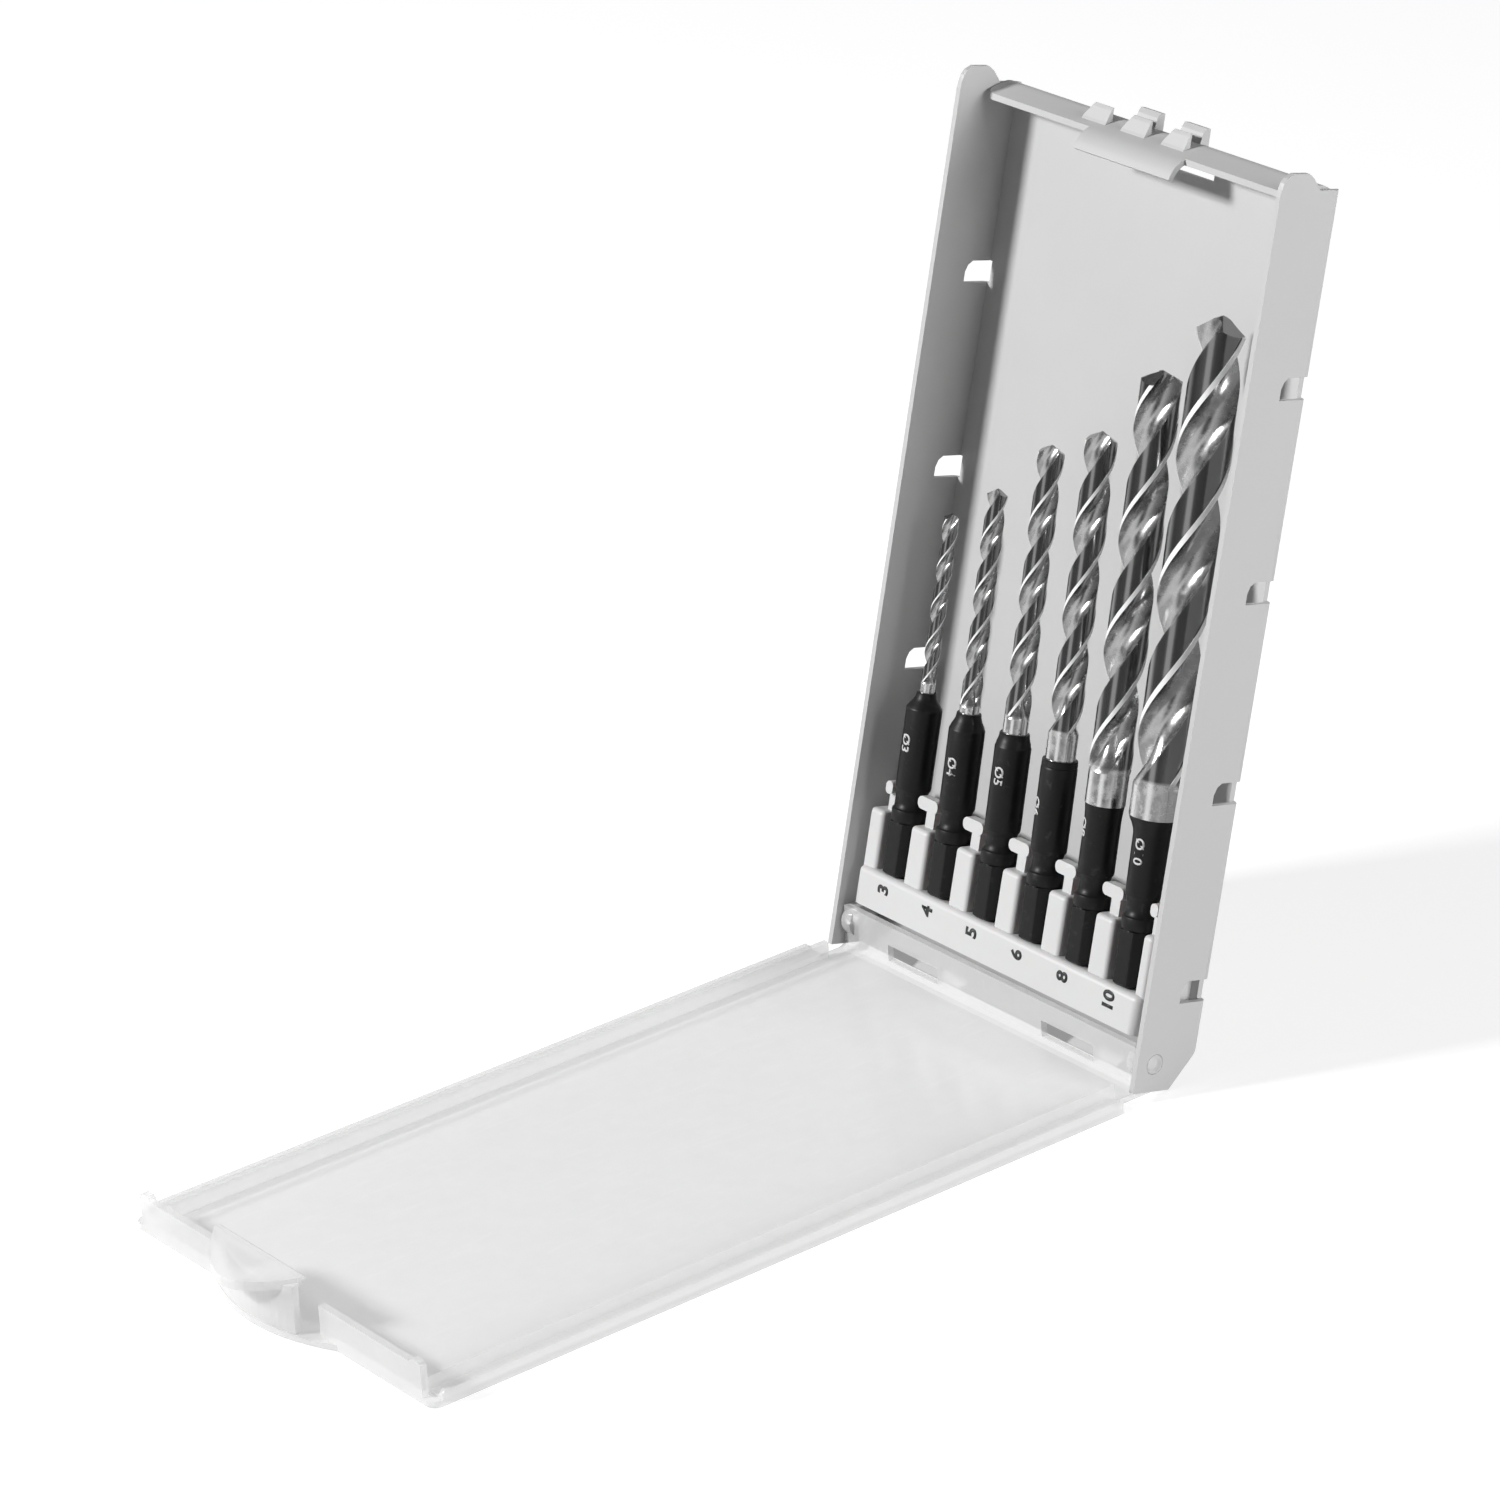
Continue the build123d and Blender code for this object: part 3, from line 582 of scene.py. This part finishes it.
# size marks wrapped round the shanks: a letter's height runs round the shank, its line down it; each place is
# the mark's level and its turn from the front
def makeMarks(look):
    for bit in bits:
        co, faces = textMesh("Ø" + str(bit["size"]), look)
        r = shankShape["round"] / 2 + look["lift"] + co[:, 2]
        level, turn = markPlaces[bit["size"]]
        a = radians(turn) + co[:, 1] / r
        placed = onBit(bit, r * np.sin(a), -r * np.cos(a), level - co[:, 0])
        piece = addPiece(f"mark{bit['size']}", placed, faces, finishes["marks"], f"bit_{bit['size']}")
        mergeDoubles(piece.data)


makeMarks(markLook)
print("lettering made")


edges = {"tray": 0.16, "bit_holder": 0.18, "lid": 0.14, "latch_tab": 0.14}      # edge radius of each node
edgeLook = {"segments": 2, "limit": 40, "weld": 1e-6}
nodeFinish = {"tray": "case", "bit_holder": "holder", "lid": "clear", "latch_tab": "clear"}


# the moulded solids keep their shape; their edges get a small radius and every face a clean normal
def dressNode(name, look):
    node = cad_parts[name]
    node.data.materials.clear()
    node.data.materials.append(finishes[nodeFinish[name]])
    weld = node.modifiers.new("weld", "WELD")
    weld.merge_threshold = look["weld"]
    bevel = node.modifiers.new("bevel", "BEVEL")
    bevel.width, bevel.segments, bevel.limit_method = edges[name] * mm, look["segments"], "ANGLE"
    bevel.angle_limit, bevel.harden_normals, bevel.use_clamp_overlap = radians(look["limit"]), True, True


for name in edges:
    dressNode(name, edgeLook)
print("moulded pieces dressed")


cardLook = {"towards": (0.204, -0.979), "side": (0.0, 0.6), "dark": (0.45, 0.10), "edge": (0.966, 0.986)}


# how bright the room is along a level direction: dark in front but for one tall white card
def cardLevel(f, direction, look):
    flat = f.vector("NORMALIZE", f.vector("MULTIPLY", direction, (1, 1, 0)))
    to = f.vector("DOT_PRODUCT", flat, (*look["towards"], 0), out="Value")
    outside, inside = look["edge"]
    return f.ramp(to, look["side"], look["dark"], (outside, look["dark"][1]), (inside, 1.0))


stageLook = {"floor": 0.46, "glow": 0.72, "size": 3.0, "drop": 0.0002, "near": (0.20, 0.55)}


# pale floor: it keeps the shadows, and its own glow for the camera, reflections and clear plastic takes it to
# white; reflections see it white near the case and as dark as the room further out
def makeFloor(look):
    f = Finish(newMaterial("floorPaper", grey(look["floor"])))
    ray = f.node("ShaderNodeLightPath", out="Is Camera Ray")
    gloss = Value(f, ray.socket.node.outputs["Is Glossy Ray"])
    through = Value(f, ray.socket.node.outputs["Is Transmission Ray"])
    at = f.place()
    away = f.vector("LENGTH", at, out="Value")
    near = f.ramp(away, (look["near"][0], 1), (look["near"][1], 0))
    room = 1 - gloss * (1 - f.clamp(near + cardLevel(f, at, cardLook)))
    seen = f.clamp(ray + gloss + through) * room
    paper = f.node("ShaderNodeBsdfDiffuse", {}, {"Color": f.mix(room, grey(0.0), grey(look["floor"]))})
    glow = f.node("ShaderNodeEmission", {}, {"Color": grey(1.0), "Strength": seen * look["glow"]})
    material = f.surface(f.node("ShaderNodeAddShader", {}, {0: paper, 1: glow}))
    s, low = look["size"], -look["drop"]
    mesh = bpy.data.meshes.new("floor")
    mesh.from_pydata([(-s, -s, low), (s, -s, low), (s, s, low), (-s, s, low)], [], [(0, 1, 2, 3)])
    mesh.materials.append(material)
    floor = bpy.data.objects.new("floor", mesh)
    bpy.context.scene.collection.objects.link(floor)


makeFloor(stageLook)
worldLook = {"fill": 0.08, "seen": 1.0, "zenith": (0.6, 0.22), "horizon": 0.06, "shoulder": 0.22}


# even fill; the camera and clear plastic see plain white, and reflections a room that darkens overhead
def makeWorld(look):
    world = bpy.data.worlds.new("studio")
    bpy.context.scene.world = world
    f = Finish(world, "ShaderNodeOutputWorld")
    camera = f.node("ShaderNodeLightPath", out="Is Camera Ray")
    gloss = Value(f, camera.socket.node.outputs["Is Glossy Ray"])
    through = Value(f, camera.socket.node.outputs["Is Transmission Ray"])
    direction = f.node("ShaderNodeTexCoord", out="Generated")
    up = f.node("ShaderNodeSeparateXYZ", {}, {0: direction}, out="Z")
    high = f.ramp(up, (look["horizon"], 0), (look["shoulder"], 1))
    sky = f.ramp(up, (0.0, look["seen"]), (look["shoulder"], look["seen"]), look["zenith"])
    room = high * sky + (1 - high) * cardLevel(f, direction, cardLook)
    seen = f.clamp(camera + through)
    level = seen * look["seen"] + (1 - seen) * (gloss * room + (1 - gloss) * look["fill"])
    f.surface(f.node("ShaderNodeBackground", {}, {"Color": grey(1.0), "Strength": level}))


makeWorld(worldLook)
lamps = [  # name, place, aimed at, size, power
    {"name": "key", "at": (-0.62, -1.15, 0.85), "aim": (0, 0.03, 0.05), "size": 0.24, "power": 28.0},
    {"name": "side", "at": (1.3, 0.35, 0.45), "aim": (0, 0.05, 0.05), "size": 0.7, "power": 16.0}]


# a square soft light that faces its aim
def makeLamp(lamp):
    data = bpy.data.lights.new(lamp["name"], "AREA")
    data.shape, data.size, data.energy = "SQUARE", lamp["size"], lamp["power"]
    light = bpy.data.objects.new(lamp["name"], data)
    bpy.context.scene.collection.objects.link(light)
    light.location = lamp["at"]
    light.rotation_euler = (Vector(lamp["aim"]) - Vector(lamp["at"])).to_track_quat("-Z", "Y").to_euler()


for lamp in lamps:
    makeLamp(lamp)
bpy.context.scene.view_settings.view_transform = "Standard"
print("stage lit")
